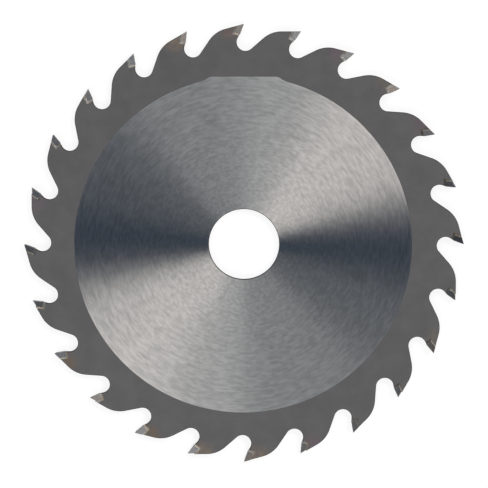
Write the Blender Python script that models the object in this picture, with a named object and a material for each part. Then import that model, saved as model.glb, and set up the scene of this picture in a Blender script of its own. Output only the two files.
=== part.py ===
"""Carbide-tipped carving disc for a small angle grinder.

The disc lies flat on its tips. +Z is the disc's axis, and the origin is on that axis, in the
plane that the tips rest on. One tooth points along +Y, and the teeth point clockwise when the
disc is seen from +Z. Each tooth is a seat cut in the steel plate, a carbide tip, and the layer
of braze between them.
"""
import math

import bmesh
import bpy
from mathutils import Vector

COLLECTION_NAME = "carving_disc"

# The whole disc, in metres
TIP_CIRCLE_DIAMETER = 0.100
BORE_DIAMETER = 0.016
KERF_WIDTH = 0.0018
PLATE_THICKNESS = 0.0012
TOOTH_COUNT = 24

# The tooth's angles, in degrees
HOOK_ANGLE = 20.0
RELIEF_ANGLE = 15.0
TOP_BEVEL_ANGLE = 10.0
FACE_CLEARANCE_ANGLE = 1.5
BACK_CLEARANCE_ANGLE = 3.0
THROAT_ANGLE = 34.0
RISE_ANGLE = 56.0

# The carbide tip, its braze and its seat, in metres
TIP_LENGTH = 0.0026
TIP_THICKNESS = 0.00125
BRAZE_THICKNESS = 0.00015
JOINT_GAP = 0.00005
TIP_OVERHANG = 0.0001
SHOULDER_DROP = 0.00003

# The gullet and the tooth's heel, in metres
THROAT_LENGTH = 0.00045
GULLET_RADIUS = 0.0020
HEEL_RADIUS = 0.0064

# How finely the round stretches are divided
ARC_STEP_DEGREES = 10.0
BORE_SEGMENTS = 72

# Colour, metallic and roughness of each material
STEEL_FINISH = ((0.40, 0.40, 0.41), 1.0, 0.38)
CARBIDE_FINISH = ((0.22, 0.21, 0.21), 0.9, 0.42)
BRAZE_FINISH = ((0.72, 0.66, 0.55), 1.0, 0.35)

TIP_RADIUS = TIP_CIRCLE_DIAMETER / 2
BORE_RADIUS = BORE_DIAMETER / 2
MID_PLANE_HEIGHT = KERF_WIDTH / 2
PITCH = math.tau / TOOTH_COUNT
SEAT_OFFSET = BRAZE_THICKNESS + 2 * JOINT_GAP
SEAT_DEPTH = TIP_THICKNESS + SEAT_OFFSET
LEDGE_DEPTH = TIP_LENGTH + SEAT_OFFSET


def direction(angle):
    """Return the flat unit vector at an angle from +X, in radians."""
    return Vector((math.cos(angle), math.sin(angle)))


def left_of(vector):
    """Return the flat vector turned a quarter turn anticlockwise."""
    return Vector((-vector.y, vector.x))


def meet(point_a, direction_a, point_b, direction_b):
    """Return the point where two flat lines cross."""
    reach = (point_b - point_a).cross(direction_b) / direction_a.cross(direction_b)
    return point_a + direction_a * reach


def turned(point, angle):
    """Return a flat point turned clockwise about the disc's axis."""
    cosine = math.cos(angle)
    sine = math.sin(angle)
    return Vector((point.x * cosine + point.y * sine, point.y * cosine - point.x * sine))


def arc(centre, start, sweep):
    """Return the points of an arc from start, swept anticlockwise if sweep is positive."""
    steps = math.ceil(abs(sweep) / math.radians(ARC_STEP_DEGREES))
    spoke = start - centre
    return [centre + turned(spoke, -sweep * step / steps) for step in range(steps + 1)]


# The first tooth's lines. Its tip is on +Y, and its face looks towards +X.
TIP_POINT = Vector((0.0, TIP_RADIUS))
DOWN_FACE = direction(-math.pi / 2 - math.radians(HOOK_ANGLE))
INTO_TOOTH = -left_of(DOWN_FACE)
ALONG_TOP = direction(math.radians(RELIEF_ANGLE))
DOWN_THROAT = direction(-math.pi / 2 - math.radians(THROAT_ANGLE))
UP_RISE = direction(math.radians(RISE_ANGLE) - PITCH)
SHOULDER_POINT = TIP_POINT - left_of(ALONG_TOP) * SHOULDER_DROP


def seat_point(depth, down):
    """Return a point at a depth behind the carbide's face and a distance down it."""
    return TIP_POINT + INTO_TOOTH * depth + DOWN_FACE * down


def on_top_line(depth, line_point):
    """Return where a line along the tooth's top passes a depth behind the carbide's face."""
    return meet(line_point, ALONG_TOP, seat_point(depth, 0.0), DOWN_FACE)


def gullet_arc():
    """Return the gullet's arc, from the throat below the seat to the next tooth's rise."""
    throat_end = seat_point(TIP_OVERHANG, LEDGE_DEPTH) + DOWN_THROAT * THROAT_LENGTH
    centre = throat_end + left_of(DOWN_THROAT) * GULLET_RADIUS
    sweep = math.pi / 2 + math.radians(THROAT_ANGLE + RISE_ANGLE) - PITCH
    return arc(centre, throat_end, sweep)


def heel_arc(rise_start):
    """Return the arc that rounds the next tooth's rise into its shoulder."""
    next_shoulder = turned(SHOULDER_POINT, PITCH)
    next_along_top = turned(ALONG_TOP, PITCH)
    corner = meet(rise_start, UP_RISE, next_shoulder, next_along_top)
    turn = math.radians(RISE_ANGLE - RELIEF_ANGLE)
    start = corner - UP_RISE * (HEEL_RADIUS * math.tan(turn / 2))
    centre = start - left_of(UP_RISE) * HEEL_RADIUS
    return arc(centre, start, -turn)


def tooth_outline():
    """Return one tooth's share of the plate's edge, from its seat to the next tooth's shoulder."""
    seat = [
        on_top_line(SEAT_DEPTH, SHOULDER_POINT),
        seat_point(SEAT_DEPTH, LEDGE_DEPTH),
        seat_point(TIP_OVERHANG, LEDGE_DEPTH),
    ]
    gullet = gullet_arc()
    return seat + gullet + heel_arc(gullet[-1])


def plate_outline():
    """Return the plate's toothed edge, once round the disc."""
    tooth = tooth_outline()
    return [turned(point, PITCH * index) for index in range(TOOTH_COUNT) for point in tooth]


def bore_outline():
    """Return the bore's circle."""
    step = math.tau / BORE_SEGMENTS
    return [direction(step * index) * BORE_RADIUS for index in range(BORE_SEGMENTS)]


def braze_outline():
    """Return the braze layer, an L behind and below the first tooth's tip."""
    inner_depth = TIP_THICKNESS + JOINT_GAP
    inner_down = TIP_LENGTH + JOINT_GAP
    outer_depth = inner_depth + BRAZE_THICKNESS
    outer_down = inner_down + BRAZE_THICKNESS
    return [
        on_top_line(inner_depth, SHOULDER_POINT),
        on_top_line(outer_depth, SHOULDER_POINT),
        seat_point(outer_depth, outer_down),
        seat_point(TIP_OVERHANG, outer_down),
        seat_point(TIP_OVERHANG, inner_down),
        seat_point(inner_depth, inner_down),
    ]


def make_material(name, finish):
    """Make a plain material from its colour, metallic and roughness values."""
    colour, metallic, roughness = finish
    material = bpy.data.materials.new(name)
    material.use_nodes = True
    shader = material.node_tree.nodes["Principled BSDF"]
    shader.inputs["Base Color"].default_value = (*colour, 1.0)
    shader.inputs["Metallic"].default_value = metallic
    shader.inputs["Roughness"].default_value = roughness
    return material


def flat_curve(name, outlines, thickness, material):
    """Make a filled, extruded curve whose middle lies in the disc's middle plane."""
    curve = bpy.data.curves.new(name, "CURVE")
    curve.dimensions = "2D"
    curve.fill_mode = "BOTH"
    curve.extrude = thickness / 2
    for outline in outlines:
        spline = curve.splines.new("POLY")
        spline.points.add(len(outline) - 1)
        for spline_point, point in zip(spline.points, outline):
            spline_point.co = (point.x, point.y, 0.0, 1.0)
        spline.use_cyclic_u = True
    curve.materials.append(material)
    return curve


def tip_corner(is_front, is_top, side, high_side):
    """Return one corner of a carbide tip, with its clearance angles and its top bevel."""
    depth = 0.0 if is_front else TIP_THICKNESS
    corner = on_top_line(depth, TIP_POINT) if is_top else seat_point(depth, TIP_LENGTH)
    down = (corner - TIP_POINT).dot(DOWN_FACE)
    height = KERF_WIDTH / 2
    height -= down * math.tan(math.radians(FACE_CLEARANCE_ANGLE))
    height -= depth * math.tan(math.radians(BACK_CLEARANCE_ANGLE))
    if is_top:
        below_high_edge = KERF_WIDTH / 2 - side * high_side * height
        corner = corner + DOWN_FACE * (below_high_edge * math.tan(math.radians(TOP_BEVEL_ANGLE)))
    return Vector((corner.x, corner.y, side * height))


def tip_mesh(name, high_side, material):
    """Make a carbide tip's mesh, its top bevelled down from its high side, +1 or -1."""
    mesh = bpy.data.meshes.new(name)
    shape = bmesh.new()
    bmesh.ops.create_cube(shape, size=2.0)
    for vertex in shape.verts:
        is_front = vertex.co.x > 0
        is_top = vertex.co.y > 0
        vertex.co = tip_corner(is_front, is_top, round(vertex.co.z), high_side)
    bmesh.ops.recalc_face_normals(shape, faces=shape.faces)
    shape.to_mesh(mesh)
    shape.free()
    mesh.materials.append(material)
    return mesh


def place(name, data, parent, collection, turn=0.0):
    """Put a piece on the disc's middle plane, turned clockwise about the axis."""
    piece = bpy.data.objects.new(name, data)
    collection.objects.link(piece)
    piece.parent = parent
    piece.rotation_euler.z = -turn
    return piece


def clear_scene():
    """Remove every object that the scene already holds."""
    for old_object in list(bpy.data.objects):
        bpy.data.objects.remove(old_object, do_unlink=True)


def build_disc():
    """Build the plate, the tips and the braze layers in their own collection."""
    collection = bpy.data.collections.new(COLLECTION_NAME)
    bpy.context.scene.collection.children.link(collection)
    centre = bpy.data.objects.new("disc_centre", None)
    centre.location.z = MID_PLANE_HEIGHT
    collection.objects.link(centre)

    steel = make_material("plate_steel", STEEL_FINISH)
    carbide = make_material("tungsten_carbide", CARBIDE_FINISH)
    braze = make_material("silver_braze", BRAZE_FINISH)

    plate = flat_curve("steel_plate", [plate_outline(), bore_outline()], PLATE_THICKNESS, steel)
    place("steel_plate", plate, centre, collection)

    tips = [tip_mesh("carbide_tip_up", 1, carbide), tip_mesh("carbide_tip_down", -1, carbide)]
    braze_layer = flat_curve("braze_layer", [braze_outline()], PLATE_THICKNESS, braze)
    for index in range(TOOTH_COUNT):
        number = f"{index + 1:02d}"
        turn = PITCH * index
        place(f"carbide_tip_{number}", tips[index % 2], centre, collection, turn)
        place(f"braze_layer_{number}", braze_layer, centre, collection, turn)


clear_scene()
build_disc()
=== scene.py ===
import math
import random

import bmesh
import bpy
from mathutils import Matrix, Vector


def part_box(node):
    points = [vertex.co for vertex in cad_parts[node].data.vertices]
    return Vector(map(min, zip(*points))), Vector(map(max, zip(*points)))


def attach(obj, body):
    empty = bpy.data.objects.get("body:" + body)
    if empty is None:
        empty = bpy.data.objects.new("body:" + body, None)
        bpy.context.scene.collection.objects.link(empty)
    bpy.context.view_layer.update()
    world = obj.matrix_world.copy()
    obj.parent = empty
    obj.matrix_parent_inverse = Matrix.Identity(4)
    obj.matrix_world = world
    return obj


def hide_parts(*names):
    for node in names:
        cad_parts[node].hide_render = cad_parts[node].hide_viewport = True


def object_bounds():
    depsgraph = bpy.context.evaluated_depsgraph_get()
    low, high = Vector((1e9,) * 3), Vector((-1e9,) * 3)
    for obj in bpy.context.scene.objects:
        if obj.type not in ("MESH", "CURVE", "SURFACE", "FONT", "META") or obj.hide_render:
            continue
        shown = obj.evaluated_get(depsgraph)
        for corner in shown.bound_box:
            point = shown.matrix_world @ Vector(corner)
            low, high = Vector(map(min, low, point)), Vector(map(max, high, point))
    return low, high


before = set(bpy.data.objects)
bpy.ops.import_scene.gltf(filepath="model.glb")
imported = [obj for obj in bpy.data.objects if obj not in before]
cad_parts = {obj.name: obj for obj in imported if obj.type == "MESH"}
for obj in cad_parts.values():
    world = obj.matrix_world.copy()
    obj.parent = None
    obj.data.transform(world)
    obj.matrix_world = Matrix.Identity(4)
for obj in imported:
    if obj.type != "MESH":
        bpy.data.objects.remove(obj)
cad_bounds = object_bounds()

# ---------------------------------------------------------------- sizes, in metres and degrees

PLATE_LOW, PLATE_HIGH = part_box("steel_plate")
TIPS_LOW, TIPS_HIGH = cad_bounds
TIP_RADIUS = (TIPS_HIGH[0] - TIPS_LOW[0]) / 2
MID_HEIGHT = (PLATE_LOW.z + PLATE_HIGH.z) / 2
PLATE_HALF = (PLATE_HIGH.z - PLATE_LOW.z) / 2
KERF_HALF = (TIPS_HIGH[2] - TIPS_LOW[2]) / 2
BORE_RADIUS = 0.008
TOOTH_COUNT = 24
PITCH = math.tau / TOOTH_COUNT

HOOK_ANGLE = 20.0
RELIEF_ANGLE = 15.0
TOP_BEVEL_ANGLE = 10.0
FACE_CLEARANCE_ANGLE = 1.5
BACK_CLEARANCE_ANGLE = 3.0
THROAT_ANGLE = 34.0
RISE_ANGLE = 56.0

TIP_LENGTH = 0.0026
TIP_THICKNESS = 0.00125
SEAT_OFFSET = 0.00025
TIP_OVERHANG = 0.0001
SHOULDER_DROP = 0.00003
SEAT_DEPTH = TIP_THICKNESS + SEAT_OFFSET
LEDGE_DEPTH = TIP_LENGTH + SEAT_OFFSET

THROAT_LENGTH = 0.00045
GULLET_RADIUS = 0.0020
HEEL_RADIUS = 0.0064

BRAZE_STEPS = 9
GULLET_STEPS = 34
HEEL_STEPS = 16
BORE_STEPS = 360

# How far the edges are broken: the plate's outline, its bore and the carbide tips
OUTLINE_ROUNDING = 0.00013
BORE_CHAMFER = 0.00014
TIP_ROUNDING = 0.00003

# The ground zone is a circle set slightly off the axis, and flattened at the top
GROUND_RADIUS = 0.0384
GROUND_OFFSET = 0.0003
OFFSET_AZIMUTH = math.radians(225.0)
FLAT_DISTANCE = 0.03805
FLAT_HALF_ANGLE = math.radians(11.5)
FLAT_RAMP_ANGLE = math.radians(4.0)
BORDER_WIDTH = 0.0004

# The part of a pitch that lies behind a tooth's point, so that its back is numbered with it
TOOTH_WINDOW = 0.75

# The braze's fillet: its width and how far that varies, and how far it stops short of the tip's
# side and stands off the plate's face
FILLET_WIDTH = 0.00022
FILLET_RIPPLE = 0.00004
FILLET_DROP = 0.00015
FILLET_LIFT = 0.00001
SEAT_CLEARANCE = 0.00002

# Faces steeper than this, by their normal's height, are a tip's honed ones, darkened as painted shade
STEEP_NORMAL = 0.7

# Where smooth faces meet at more than this, the edge stays sharp
CORNER_ANGLE = math.radians(35.0)

# ---------------------------------------------------------------- flat geometry


def direction(angle):
    """Return the flat unit vector at an angle from +X, in radians."""
    return Vector((math.cos(angle), math.sin(angle)))


def left_of(vector):
    """Return the flat vector turned a quarter turn anticlockwise."""
    return Vector((-vector.y, vector.x))


def meet(point_a, direction_a, point_b, direction_b):
    """Return the point where two flat lines cross."""
    reach = (point_b - point_a).cross(direction_b) / direction_a.cross(direction_b)
    return point_a + direction_a * reach


def turned(point, angle):
    """Return a flat point turned clockwise about the disc's axis."""
    cosine = math.cos(angle)
    sine = math.sin(angle)
    return Vector((point.x * cosine + point.y * sine, point.y * cosine - point.x * sine))


def arc(centre, start, sweep, steps):
    """Return the points of an arc from start, swept anticlockwise if sweep is positive."""
    spoke = start - centre
    return [centre + turned(spoke, -sweep * step / steps) for step in range(steps + 1)]


TIP_POINT = Vector((0.0, TIP_RADIUS))
DOWN_FACE = direction(-math.pi / 2 - math.radians(HOOK_ANGLE))
INTO_TOOTH = -left_of(DOWN_FACE)
ALONG_TOP = direction(math.radians(RELIEF_ANGLE))
DOWN_THROAT = direction(-math.pi / 2 - math.radians(THROAT_ANGLE))
UP_RISE = direction(math.radians(RISE_ANGLE) - PITCH)
SHOULDER_POINT = TIP_POINT - left_of(ALONG_TOP) * SHOULDER_DROP


def seat_point(depth, down):
    """Return a point at a depth behind the carbide's face and a distance down it."""
    return TIP_POINT + INTO_TOOTH * depth + DOWN_FACE * down


def on_top_line(depth, line_point):
    """Return where a line along the tooth's top passes a depth behind the carbide's face."""
    return meet(line_point, ALONG_TOP, seat_point(depth, 0.0), DOWN_FACE)


def gullet_arc():
    """Return the gullet's arc, from the throat below the seat to the next tooth's rise."""
    throat_end = seat_point(TIP_OVERHANG, LEDGE_DEPTH) + DOWN_THROAT * THROAT_LENGTH
    centre = throat_end + left_of(DOWN_THROAT) * GULLET_RADIUS
    sweep = math.pi / 2 + math.radians(THROAT_ANGLE + RISE_ANGLE) - PITCH
    return arc(centre, throat_end, sweep, GULLET_STEPS)


def heel_arc(rise_start):
    """Return the arc that rounds the next tooth's rise into its shoulder."""
    next_shoulder = turned(SHOULDER_POINT, PITCH)
    next_along_top = turned(ALONG_TOP, PITCH)
    corner = meet(rise_start, UP_RISE, next_shoulder, next_along_top)
    turn = math.radians(RISE_ANGLE - RELIEF_ANGLE)
    start = corner - UP_RISE * (HEEL_RADIUS * math.tan(turn / 2))
    centre = start - left_of(UP_RISE) * HEEL_RADIUS
    return arc(centre, start, -turn, HEEL_STEPS)


def plate_outline():
    """Return the plate's toothed edge, clockwise once round the disc."""
    gullet = gullet_arc()
    tooth = [
        on_top_line(SEAT_DEPTH, SHOULDER_POINT),
        seat_point(SEAT_DEPTH, LEDGE_DEPTH),
        seat_point(TIP_OVERHANG, LEDGE_DEPTH),
    ]
    tooth += gullet + heel_arc(gullet[-1])
    return [turned(point, PITCH * index) for index in range(TOOTH_COUNT) for point in tooth]


def inset(outline, amount):
    """Return a clockwise outline moved into its material by an amount."""
    moved = []
    for index, point in enumerate(outline):
        before = (point - outline[index - 1]).normalized()
        after = (outline[(index + 1) % len(outline)] - point).normalized()
        inward = -left_of(before + after).normalized()
        moved.append(point + inward * (amount / inward.dot(-left_of(before))))
    return moved


def ring(radius_at, steps):
    """Return a clockwise ring whose radius is a function of the azimuth from +Y."""
    azimuths = [math.tau * step / steps for step in range(steps)]
    return [turned(Vector((0.0, radius_at(azimuth))), azimuth) for azimuth in azimuths]


def ground_radius(azimuth):
    """Return the ground zone's radius at an azimuth from +Y, flattened across the top."""
    from_top = abs((azimuth + math.pi) % math.tau - math.pi)
    if from_top < FLAT_HALF_ANGLE:
        return FLAT_DISTANCE / math.cos(from_top)
    circle_radius = GROUND_RADIUS + GROUND_OFFSET * math.cos(azimuth - OFFSET_AZIMUTH)
    corner_radius = FLAT_DISTANCE / math.cos(FLAT_HALF_ANGLE)
    left = max(1.0 - (from_top - FLAT_HALF_ANGLE) / FLAT_RAMP_ANGLE, 0.0)
    return circle_radius + (corner_radius - circle_radius) * left ** 2


# ---------------------------------------------------------------- mesh helpers


def lay_ring(shape, outline, height):
    """Add an outline's points at a height, and the edges that join them round."""
    verts = [shape.verts.new((point.x, point.y, height)) for point in outline]
    for index, vert in enumerate(verts):
        shape.edges.new((verts[index - 1], vert))
    return verts


def bridge(shape, first, second, material_index, smooth):
    """Join two rings of the same length with quads."""
    for index in range(len(first)):
        corners = (first[index - 1], first[index], second[index], second[index - 1])
        face = shape.faces.new(corners)
        face.material_index = material_index
        face.smooth = smooth


def ring_edges(shape, verts):
    """Return the edges round a ring of vertices."""
    return [shape.edges.get((verts[index - 1], verts[index])) for index in range(len(verts))]


def fill_between(shape, outer, inner, material_index):
    """Fill the flat area between two rings."""
    edges = ring_edges(shape, outer) + ring_edges(shape, inner)
    filled = bmesh.ops.triangle_fill(shape, edges=edges, use_beauty=True, normal=(0, 0, 1))
    for face in filled["geom"]:
        if isinstance(face, bmesh.types.BMFace):
            face.material_index = material_index
            face.smooth = False


def rounded_levels(half_height, rounding, steps=2):
    """Return the (inset, height) levels of a wall with rounded edges, from low to high."""
    lower = []
    for step in range(steps + 1):
        angle = math.pi / 2 * step / steps
        inward = rounding * (1 - math.sin(angle))
        lower.append((inward, -half_height + rounding * (1 - math.cos(angle))))
    return lower + [(inward, -height) for inward, height in reversed(lower)]


def mark_corners(shape, angle_limit):
    """Make the edges sharp where smooth faces meet at more than an angle."""
    for edge in shape.edges:
        if len(edge.link_faces) == 2 and all(face.smooth for face in edge.link_faces):
            edge.smooth = edge.calc_face_angle(0.0) < angle_limit


def finish_piece(name, shape, materials, nodes):
    """Turn a shape into a piece that rides on the disc and stands for CAD nodes."""
    bmesh.ops.recalc_face_normals(shape, faces=shape.faces)
    mark_corners(shape, CORNER_ANGLE)
    mesh = bpy.data.meshes.new(name)
    shape.to_mesh(mesh)
    shape.free()
    for material in materials:
        mesh.materials.append(material)
    piece = bpy.data.objects.new(name, mesh)
    bpy.context.scene.collection.objects.link(piece)
    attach(piece, "root")
    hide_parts(*nodes)
    return piece


# ---------------------------------------------------------------- material helpers


class Shading:
    """One material's nodes, with the disc's own coordinates ready to use."""

    def __init__(self, name):
        self.material = bpy.data.materials.new(name)
        self.material.use_nodes = True
        self.tree = self.material.node_tree
        self.shader = self.tree.nodes["Principled BSDF"]
        place = self.tree.nodes.new("ShaderNodeTexCoord").outputs["Object"]
        split = self.add("ShaderNodeSeparateXYZ", Vector=place)
        self.place = place
        self.x, self.y, _ = split.outputs
        squares = self.plus(self.times(self.x, self.x), self.times(self.y, self.y))
        self.radius = self.math("SQRT", squares)
        self.azimuth = self.math("ARCTAN2", self.x, self.y)

    def add(self, kind, **inputs):
        """Add a node and set or link its inputs by name."""
        node = self.tree.nodes.new(kind)
        for name, value in inputs.items():
            self.feed(node.inputs[name.replace("_", " ")], value)
        return node

    def feed(self, socket, value):
        """Link a socket's value, or set it if it is a number or a colour."""
        if isinstance(value, bpy.types.NodeSocket):
            self.tree.links.new(value, socket)
        else:
            socket.default_value = value

    def math(self, operation, *values):
        """Return the result of a Math node."""
        node = self.tree.nodes.new("ShaderNodeMath")
        node.operation = operation
        for socket, value in zip(node.inputs, values):
            self.feed(socket, value)
        return node.outputs[0]

    def plus(self, first, second):
        """Return the sum of two values."""
        return self.math("ADD", first, second)

    def times(self, first, second):
        """Return the product of two values."""
        return self.math("MULTIPLY", first, second)

    def spread(self, value, low, high, new_low=0.0, new_high=1.0):
        """Return a value carried smoothly and clamped from one range to another."""
        node = self.tree.nodes.new("ShaderNodeMapRange")
        node.interpolation_type = "SMOOTHSTEP"
        for socket, number in zip(node.inputs, (value, low, high, new_low, new_high)):
            self.feed(socket, number)
        return node.outputs["Result"]

    def noise(self, vector, scale, detail=2.0, roughness=0.5):
        """Return a noise value around 0.5."""
        node = self.add("ShaderNodeTexNoise", Vector=vector, Scale=scale)
        node.inputs["Detail"].default_value = detail
        node.inputs["Roughness"].default_value = roughness
        return node.outputs["Fac"]

    def blend(self, amount, first, second, mode="MIX"):
        """Return two colours mixed by an amount."""
        node = self.tree.nodes.new("ShaderNodeMix")
        node.data_type = "RGBA"
        node.blend_type = mode
        self.feed(node.inputs[0], amount)
        self.feed(node.inputs[6], first)
        self.feed(node.inputs[7], second)
        return node.outputs[2]

    def shade(self, colour, amount):
        """Return a colour multiplied by a value."""
        node = self.tree.nodes.new("ShaderNodeVectorMath")
        node.operation = "SCALE"
        self.feed(node.inputs[0], colour[:3] if isinstance(colour, tuple) else colour)
        self.feed(node.inputs["Scale"], amount)
        return node.outputs[0]

    def rings(self, per_metre, around, detail=3.0):
        """Return noise drawn out round the axis, like the marks that grinding leaves."""
        along = self.times(self.math("SINE", self.azimuth), around)
        across = self.times(self.math("COSINE", self.azimuth), around)
        outward = self.times(self.radius, per_metre)
        vector = self.add("ShaderNodeCombineXYZ", X=along, Y=across, Z=outward).outputs[0]
        return self.noise(vector, 1.0, detail, 0.6)

    def tooth(self):
        """Return the tooth's number over the tooth count, and a place in that tooth's frame."""
        turns = self.math("DIVIDE", self.azimuth, PITCH)
        index = self.math("FLOOR", self.plus(turns, TOOTH_WINDOW))
        angle = self.times(self.math("SUBTRACT", turns, index), PITCH)
        number = self.math("FLOORED_MODULO", index, TOOTH_COUNT)
        fraction = self.math("DIVIDE", self.plus(number, 0.5), TOOTH_COUNT)
        along = self.times(self.radius, self.math("SINE", angle))
        outward = self.times(self.radius, self.math("COSINE", angle))
        return fraction, along, outward

    def by_tooth(self, fraction, values):
        """Return the value or colour that belongs to each tooth."""
        node = self.add("ShaderNodeValToRGB", Fac=fraction)
        ramp = node.color_ramp
        ramp.interpolation = "CONSTANT"
        while len(ramp.elements) < len(values):
            ramp.elements.new(1.0)
        for index, value in enumerate(values):
            colour = value if isinstance(value, tuple) else (value, value, value, 1.0)
            ramp.elements[index].position = index / len(values)
            ramp.elements[index].color = colour
        return node.outputs["Color"]

    def near(self, along, outward, point, reach, soft):
        """Return 1 close to a point of the tooth's frame, fading to 0 over a soft edge."""
        side = self.math("SUBTRACT", along, point.x)
        rise = self.math("SUBTRACT", outward, point.y)
        away = self.math("SQRT", self.plus(self.times(side, side), self.times(rise, rise)))
        return self.spread(away, reach, reach + soft, 1.0, 0.0)

    def bump(self, height, distance):
        """Raise the surface by a height value times a distance."""
        node = self.add("ShaderNodeBump", Height=height)
        node.inputs["Strength"].default_value = 1.0
        node.inputs["Distance"].default_value = distance
        self.tree.links.new(node.outputs["Normal"], self.shader.inputs["Normal"])

    def finish(self, colour, roughness, metallic=1.0):
        """Set the shader's colour, roughness and metallic value."""
        self.feed(self.shader.inputs["Base Color"], colour)
        self.feed(self.shader.inputs["Roughness"], roughness)
        self.feed(self.shader.inputs["Metallic"], metallic)
        return self.material


# The heat tint beside each tip, clockwise from the tooth at the top
PLAIN = (0.162, 0.159, 0.160, 1.0)
ROSE = (0.208, 0.165, 0.151, 1.0)
MAUVE = (0.185, 0.152, 0.167, 1.0)
BROWN = (0.208, 0.166, 0.132, 1.0)
TAN = (0.245, 0.202, 0.160, 1.0)
STRAW = (0.190, 0.176, 0.158, 1.0)
TOOTH_TINTS = [
    ROSE, PLAIN, MAUVE, STRAW, MAUVE, PLAIN, PLAIN, PLAIN,
    STRAW, PLAIN, PLAIN, MAUVE, TAN, TAN, BROWN, PLAIN,
    BROWN, PLAIN, PLAIN, MAUVE, PLAIN, PLAIN, PLAIN, TAN,
]

# The colour of each tip's carbide, clockwise from the tooth at the top: torch tints, with painted
# light and shade that make some tips lighter or darker
GREY = (0.34, 0.34, 0.34, 1.0)
HALF_SHADED_GREY = (0.27, 0.27, 0.27, 1.0)
SHADED_GREY = (0.21, 0.205, 0.205, 1.0)
UMBER = (0.23, 0.21, 0.19, 1.0)
PEACH = (0.41, 0.36, 0.32, 1.0)
WARM = (0.34, 0.315, 0.29, 1.0)
TIP_COLOURS_AND_SHADE = [
    WARM, GREY, GREY, PEACH, HALF_SHADED_GREY, HALF_SHADED_GREY, SHADED_GREY, SHADED_GREY,
    UMBER, SHADED_GREY, SHADED_GREY, SHADED_GREY, UMBER, HALF_SHADED_GREY, HALF_SHADED_GREY, WARM,
    GREY, HALF_SHADED_GREY, HALF_SHADED_GREY, GREY, GREY, GREY, GREY, PEACH,
]

# How bright the braze behind each tip shows: painted light and shade, from a painted sheen down to
# deep painted shade
PAINTED_SHEEN = 0.9
PAINTED_MID_LIGHT = 0.72
PAINTED_HALF_SHADE = 0.57
PAINTED_DEEP_SHADE = 0.3
BRAZE_PAINTED_SHADES = [
    PAINTED_SHEEN, PAINTED_MID_LIGHT, PAINTED_MID_LIGHT, PAINTED_MID_LIGHT, PAINTED_DEEP_SHADE, PAINTED_DEEP_SHADE, PAINTED_DEEP_SHADE, PAINTED_DEEP_SHADE,
    PAINTED_DEEP_SHADE, PAINTED_DEEP_SHADE, PAINTED_DEEP_SHADE, PAINTED_HALF_SHADE, PAINTED_HALF_SHADE, PAINTED_SHEEN, PAINTED_SHEEN, PAINTED_MID_LIGHT,
    PAINTED_HALF_SHADE, PAINTED_HALF_SHADE, PAINTED_DEEP_SHADE, PAINTED_DEEP_SHADE, PAINTED_HALF_SHADE, PAINTED_SHEEN, PAINTED_SHEEN, PAINTED_MID_LIGHT,
]


def brush(paint, tangent, anisotropic, rotation):
    """Draw the shader's highlight out across the marks that grinding leaves."""
    paint.tree.links.new(tangent, paint.shader.inputs["Tangent"])
    paint.shader.inputs["Anisotropic"].default_value = anisotropic
    paint.shader.inputs["Anisotropic Rotation"].default_value = rotation


def ground_steel(name, highlight_gain):
    """The centre: ground in fine rings, so its highlight is drawn out across them."""
    paint = Shading(name)
    fine = paint.rings(9000.0, 9.0)
    coarse = paint.rings(2600.0, 5.0)
    marks = paint.plus(paint.times(fine, 0.6), paint.times(coarse, 0.4))
    mottle = paint.rings(1500.0, 15.0, 2.0)
    # A gain above 1 lifts the whole tone as a painted highlight
    tone = paint.plus(
        paint.spread(marks, 0.3, 0.7, 0.88 * highlight_gain, 1.12 * highlight_gain),
        paint.spread(mottle, 0.3, 0.7, -0.12, 0.12),
    )
    tangent = paint.tree.nodes.new("ShaderNodeTangent")
    tangent.direction_type = "RADIAL"
    tangent.axis = "Z"
    brush(paint, tangent.outputs[0], 0.95, 0.25)
    paint.bump(marks, 0.000001)
    colour = paint.shade((0.505, 0.50, 0.482), tone)
    return paint.finish(colour, paint.spread(coarse, 0.3, 0.7, 0.36, 0.41))


def blasted_steel():
    """The rim: blasted matt, with heat tints beside the brazed tips."""
    paint = Shading("blasted_steel")
    grain = paint.noise(paint.place, 7000.0, 3.0, 0.6)
    cloud = paint.noise(paint.place, 260.0, 3.0, 0.5)
    fraction, along, outward = paint.tooth()
    tint = paint.by_tooth(fraction, TOOTH_TINTS)
    heated = paint.near(along, outward, seat_point(0.0026, 0.0022), 0.0010, 0.0024)
    patch = paint.spread(paint.noise(paint.place, 800.0, 3.0), 0.35, 0.6, 0.35, 1.0)
    colour = paint.blend(paint.times(heated, patch), PLAIN, tint)
    tone = paint.plus(
        paint.spread(grain, 0.3, 0.7, -0.09, 0.09), paint.spread(cloud, 0.3, 0.7, 0.95, 1.05)
    )
    paint.bump(grain, 0.00001)
    return paint.finish(paint.shade(colour, tone), paint.spread(grain, 0.3, 0.7, 0.58, 0.70))


def cut_edge_skin_and_shade():
    """The walls of the teeth, gullets and bore: a dark skin left by cutting, marked across, and kept
    dark as painted shade with no specular reflection.
    """
    paint = Shading("cut_edge_skin_and_shade")
    stretched = paint.add("ShaderNodeMapping", Vector=paint.place)
    stretched.inputs["Scale"].default_value = (1.0, 1.0, 0.12)
    marks = paint.noise(stretched.outputs[0], 9000.0, 2.0)
    tone = paint.spread(marks, 0.3, 0.7, 0.6, 1.4)
    paint.bump(marks, 0.000012)
    # No specular reflection, so the walls never catch the light: painted shade on top of the dark cut
    # skin
    paint.shader.inputs["Specular IOR Level"].default_value = 0.0
    colour = paint.shade((0.050, 0.047, 0.048), tone)
    return paint.finish(colour, paint.spread(marks, 0.3, 0.7, 0.45, 0.65), 0.0)


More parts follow.
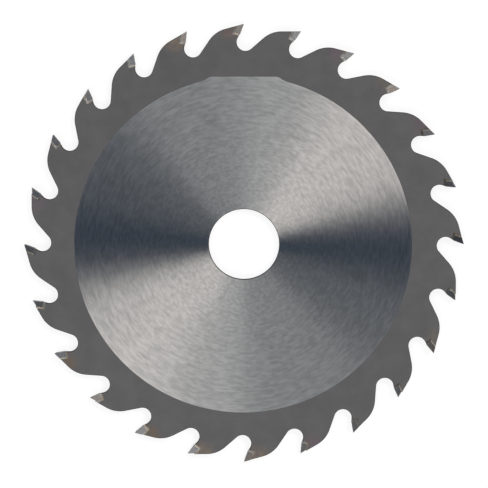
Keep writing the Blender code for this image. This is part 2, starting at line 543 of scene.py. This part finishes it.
def tungsten_carbide():
    """The tips: carbide ground across the tooth, some warmer from the torch, some lighter or darker
    by painted light and shade.
    """
    paint = Shading("tungsten_carbide")
    fraction, _, _ = paint.tooth()
    grain = paint.noise(paint.place, 15000.0, 2.0)
    stretched = paint.add("ShaderNodeMapping", Vector=paint.place)
    stretched.inputs["Scale"].default_value = (1.0, 1.0, 9.0)
    marks = paint.noise(stretched.outputs[0], 2400.0, 3.0)
    tone = paint.plus(
        paint.spread(grain, 0.3, 0.7, -0.1, 0.1), paint.spread(marks, 0.3, 0.7, 0.88, 1.12)
    )
    face_azimuth = paint.plus(
        paint.times(fraction, math.tau), math.radians(HOOK_ANGLE) - PITCH / 2
    )
    up_face = paint.add(
        "ShaderNodeCombineXYZ",
        X=paint.math("SINE", face_azimuth),
        Y=paint.math("COSINE", face_azimuth),
    )
    brush(paint, up_face.outputs[0], 0.8, 0.0)
    paint.bump(grain, 0.0000004)
    # Each tooth's colour carries painted light and shade as well as its torch tint
    colour = paint.shade(paint.by_tooth(fraction, TIP_COLOURS_AND_SHADE), tone)
    return paint.finish(colour, paint.spread(grain, 0.3, 0.7, 0.40, 0.48))


def honed_carbide_painted_shade():
    """The tips' cutting face, top and back: honed, and darker than their ground sides as painted
    shade.
    """
    paint = Shading("honed_carbide_painted_shade")
    grain = paint.noise(paint.place, 15000.0, 2.0)
    tone = paint.spread(grain, 0.3, 0.7, 0.9, 1.1)
    colour = paint.shade((0.085, 0.082, 0.082), tone)
    return paint.finish(colour, paint.spread(grain, 0.3, 0.7, 0.34, 0.42), 0.9)


def silver_braze():
    """The solder round the tips: pale and slightly yellow, with a rippled skin, made lighter or
    darker tooth by tooth by painted light and shade.
    """
    paint = Shading("silver_braze")
    fraction, _, _ = paint.tooth()
    shade = paint.by_tooth(fraction, BRAZE_PAINTED_SHADES)
    ripple = paint.noise(paint.place, 2600.0, 3.0)
    stain = paint.noise(paint.place, 700.0, 2.0)
    colour = paint.blend(
        paint.spread(stain, 0.4, 0.65), (0.44, 0.43, 0.39, 1.0), (0.34, 0.29, 0.23, 1.0)
    )
    # Painted light and shade: each tooth's braze colour is multiplied lighter or darker
    shaded = paint.blend(1.0, colour, shade, "MULTIPLY")
    paint.bump(ripple, 0.000008)
    return paint.finish(shaded, paint.spread(ripple, 0.3, 0.7, 0.42, 0.58))


# ---------------------------------------------------------------- pieces


def make_plate(*materials):
    """The steel plate: rounded outline, chamfered bore, ground centre and blasted rim."""
    ground, highlight_border, blasted, cut_edge = range(4)
    shape = bmesh.new()
    outline = plate_outline()
    edge_levels = rounded_levels(PLATE_HALF, OUTLINE_ROUNDING)
    edge_rings = [
        lay_ring(shape, inset(outline, inward), MID_HEIGHT + height) for inward, height in edge_levels
    ]
    for lower, upper in zip(edge_rings, edge_rings[1:]):
        bridge(shape, lower, upper, cut_edge, True)
    bore_levels = rounded_levels(PLATE_HALF, BORE_CHAMFER, 1)
    bore_rings = []
    for inward, height in bore_levels:
        bore = ring(lambda azimuth: BORE_RADIUS + inward, BORE_STEPS)
        bore_rings.append(lay_ring(shape, bore, MID_HEIGHT + height))
    for lower, upper in zip(bore_rings, bore_rings[1:]):
        bridge(shape, lower, upper, cut_edge, True)
    for end in (0, -1):
        height = edge_rings[end][0].co.z
        zone = ring(ground_radius, BORE_STEPS)
        outer = lay_ring(shape, zone, height)
        inner = lay_ring(shape, inset(zone, BORDER_WIDTH), height)
        fill_between(shape, edge_rings[end], outer, blasted)
        # The narrow ring between the zones carries the painted highlight
        bridge(shape, outer, inner, highlight_border, False)
        bridge(shape, inner, bore_rings[end], ground, False)
    finish_piece("disc_plate", shape, materials, ["steel_plate"])


def tip_corner(is_front, is_top, side, high_side):
    """Return one corner of a carbide tip, with its clearance angles and its top bevel."""
    depth = 0.0 if is_front else TIP_THICKNESS
    corner = on_top_line(depth, TIP_POINT) if is_top else seat_point(depth, TIP_LENGTH)
    down = (corner - TIP_POINT).dot(DOWN_FACE)
    height = KERF_HALF
    height -= down * math.tan(math.radians(FACE_CLEARANCE_ANGLE))
    height -= depth * math.tan(math.radians(BACK_CLEARANCE_ANGLE))
    if is_top:
        below_high_edge = KERF_HALF - side * high_side * height
        corner = corner + DOWN_FACE * (below_high_edge * math.tan(math.radians(TOP_BEVEL_ANGLE)))
    return corner, side * height


def make_tip(number, *materials):
    """A carbide tip with its edges just broken: ground on its sides and honed round them, the honed
    faces darkened as painted shade.
    """
    shape = bmesh.new()
    bmesh.ops.create_cube(shape, size=2.0)
    high_side = 1 if number % 2 == 0 else -1
    for vert in shape.verts:
        corner, height = tip_corner(vert.co.x > 0, vert.co.y > 0, round(vert.co.z), high_side)
        flat = turned(corner, PITCH * number)
        vert.co = (flat.x, flat.y, MID_HEIGHT + height)
    bmesh.ops.recalc_face_normals(shape, faces=shape.faces)
    bmesh.ops.bevel(
        shape, geom=list(shape.edges), offset=TIP_ROUNDING, segments=2, profile=0.5, affect="EDGES"
    )
    for face in shape.faces:
        face.smooth = face.calc_area() < TIP_THICKNESS * TIP_ROUNDING * 4
        # Steep faces take the second slot: carbide darkened as painted shade
        face.material_index = 1 if abs(face.normal.z) < STEEP_NORMAL else 0
    node = f"carbide_tip_{number + 1:02d}"
    finish_piece(f"ground_{node}", shape, materials, [node])


def braze_path(offset, steps):
    """Return an L behind and below the tip, at an offset from the carbide."""
    top = on_top_line(TIP_THICKNESS + offset, SHOULDER_POINT)
    corner = seat_point(TIP_THICKNESS + offset, TIP_LENGTH + offset)
    end = seat_point(TIP_OVERHANG + max(offset - SEAT_OFFSET, 0.0) / 2, TIP_LENGTH + offset)
    down_leg = [top.lerp(corner, step / steps) for step in range(steps)]
    return down_leg + [corner.lerp(end, step / steps) for step in range(steps + 1)]


def fillet_width(phases, index):
    """Return the fillet's width at a step along the L, the sum of slow waves."""
    waves = [math.sin(phase + index * (0.5 + 0.4 * wave)) for wave, phase in enumerate(phases)]
    return FILLET_WIDTH + FILLET_RIPPLE * sum(waves)


def make_braze(number, material):
    """A braze layer: it fills the seat's gap and lies in a fillet on both faces of the plate."""
    shape = bmesh.new()
    count = 2 * BRAZE_STEPS + 1
    luck = random.Random(number)
    phases = [luck.uniform(0.0, math.tau) for _ in range(3)]
    widths = [fillet_width(phases, index) for index in range(count)]
    inner_height = KERF_HALF - FILLET_DROP
    section = [
        (0.0, inner_height),
        (0.35, PLATE_HALF + 0.45 * (inner_height - PLATE_HALF)),
        (1.0, PLATE_HALF + FILLET_LIFT),
    ]
    columns = []
    lower_section = [(share, -height) for share, height in reversed(section)]
    for share, height in section + [(None, 0.0)] + lower_section:
        column = []
        for index in range(count):
            width = SEAT_OFFSET - SEAT_CLEARANCE
            if share is not None:
                width = share * (SEAT_OFFSET + widths[index])
            flat = turned(braze_path(width, BRAZE_STEPS)[index], PITCH * number)
            column.append(shape.verts.new((flat.x, flat.y, MID_HEIGHT + height)))
        columns.append(column)
    for index in range(len(columns)):
        left, right = columns[index - 1], columns[index]
        for step in range(count - 1):
            face = shape.faces.new((left[step], left[step + 1], right[step + 1], right[step]))
            face.smooth = True
    shape.faces.new([column[0] for column in columns])
    shape.faces.new([column[-1] for column in columns])
    node = f"braze_layer_{number + 1:02d}"
    finish_piece(f"fillet_{node}", shape, [material], [node])


def make_pieces():
    """Make the plate, and a tip and its braze for each tooth."""
    make_plate(
        ground_steel("ground_steel", 1.0),
        # The border ring is the ground steel made 6% lighter: a painted highlight along the ground
        # zone's edge
        ground_steel("ground_border_painted_highlight", 1.06),
        blasted_steel(),
        cut_edge_skin_and_shade(),
    )
    sides = tungsten_carbide()
    honed_and_shaded = honed_carbide_painted_shade()
    braze = silver_braze()
    for number in range(TOOTH_COUNT):
        make_tip(number, sides, honed_and_shaded)
        make_braze(number, braze)


# ---------------------------------------------------------------- studio

CAMERA_LENS = 200.0
SENSOR_WIDTH = 36.0
FRAME_SHARE = 0.90
CAMERA_TILT = math.radians(5.0)
FLOOR_GAP = 0.00002
FLOOR_SIZE = 3.0
FLOOR_GLOW = 0.83

# name, azimuth, elevation, distance, size, watts, colour
SOFTBOXES = [
    ("key_light", 55.5, 40.0, 1.6, (1.15, 0.6), 15.6, (1.0, 0.93, 0.88)),
    ("opposite_light", 213.5, 40.0, 0.9, (0.90, 0.35), 4.8, (1.0, 0.98, 0.96)),
    ("upper_light", 350.0, 40.0, 1.6, (2.0, 0.6), 11.8, (1.0, 1.0, 0.98)),
    ("lower_light", 144.0, 40.0, 0.9, (0.98, 0.35), 2.0, (1.0, 0.98, 0.94)),
]


def make_camera():
    """Look almost straight down, turned a little so that the walls facing +Y show."""
    data = bpy.data.cameras.new("camera")
    data.lens = CAMERA_LENS
    data.sensor_width = SENSOR_WIDTH
    camera = bpy.data.objects.new("camera", data)
    bpy.context.scene.collection.objects.link(camera)
    distance = 2 * TIP_RADIUS / FRAME_SHARE * CAMERA_LENS / SENSOR_WIDTH
    camera.location.y = distance * math.sin(CAMERA_TILT)
    camera.location.z = MID_HEIGHT + distance * math.cos(CAMERA_TILT)
    camera.rotation_euler.x = -CAMERA_TILT
    bpy.context.scene.camera = camera


def make_floor():
    """A plain white floor that the disc lies on, partly glowing so that it stays white."""
    mesh = bpy.data.meshes.new("floor")
    shape = bmesh.new()
    bmesh.ops.create_grid(shape, x_segments=1, y_segments=1, size=FLOOR_SIZE)
    shape.to_mesh(mesh)
    shape.free()
    floor = bpy.data.objects.new("floor", mesh)
    floor.location.z = TIPS_LOW[2] - FLOOR_GAP
    bpy.context.scene.collection.objects.link(floor)
    material = bpy.data.materials.new("white_floor")
    material.use_nodes = True
    shader = material.node_tree.nodes["Principled BSDF"]
    shader.inputs["Base Color"].default_value = (0.18, 0.18, 0.18, 1.0)
    shader.inputs["Roughness"].default_value = 0.9
    shader.inputs["Emission Color"].default_value = (1.0, 1.0, 1.0, 1.0)
    shader.inputs["Emission Strength"].default_value = FLOOR_GLOW
    mesh.materials.append(material)


def make_softbox(name, azimuth, elevation, distance, size, watts, colour):
    """Aim a soft rectangular light at the disc, from an azimuth clockwise from +Y."""
    data = bpy.data.lights.new(name, "AREA")
    data.shape = "RECTANGLE"
    data.size, data.size_y = size
    data.energy = watts
    data.color = colour
    light = bpy.data.objects.new(name, data)
    flat = direction(math.pi / 2 - math.radians(azimuth)) * math.cos(math.radians(elevation))
    toward = Vector((flat.x, flat.y, math.sin(math.radians(elevation))))
    light.location = toward * distance
    light.rotation_euler = toward.to_track_quat("Z", "Y").to_euler()
    light.visible_camera = False
    bpy.context.scene.collection.objects.link(light)


def make_world():
    """A white studio: white to the camera, and a dim bluish room for the reflections."""
    world = bpy.data.worlds.new("studio")
    world.use_nodes = True
    bpy.context.scene.world = world
    tree = world.node_tree
    seen = tree.nodes["Background"]
    seen.inputs["Color"].default_value = (1.0, 1.0, 1.0, 1.0)
    lit = tree.nodes.new("ShaderNodeBackground")
    lit.inputs["Color"].default_value = (0.32, 0.60, 1.10, 1.0)
    lit.inputs["Strength"].default_value = 0.08
    path = tree.nodes.new("ShaderNodeLightPath")
    mix = tree.nodes.new("ShaderNodeMixShader")
    tree.links.new(path.outputs["Is Camera Ray"], mix.inputs[0])
    tree.links.new(lit.outputs[0], mix.inputs[1])
    tree.links.new(seen.outputs[0], mix.inputs[2])
    tree.links.new(mix.outputs[0], tree.nodes["World Output"].inputs["Surface"])


def make_studio():
    """The camera, the floor, the world and the soft lights."""
    make_camera()
    make_floor()
    make_world()
    for softbox in SOFTBOXES:
        make_softbox(*softbox)
    bpy.context.scene.view_settings.view_transform = "Standard"


make_studio()
make_pieces()
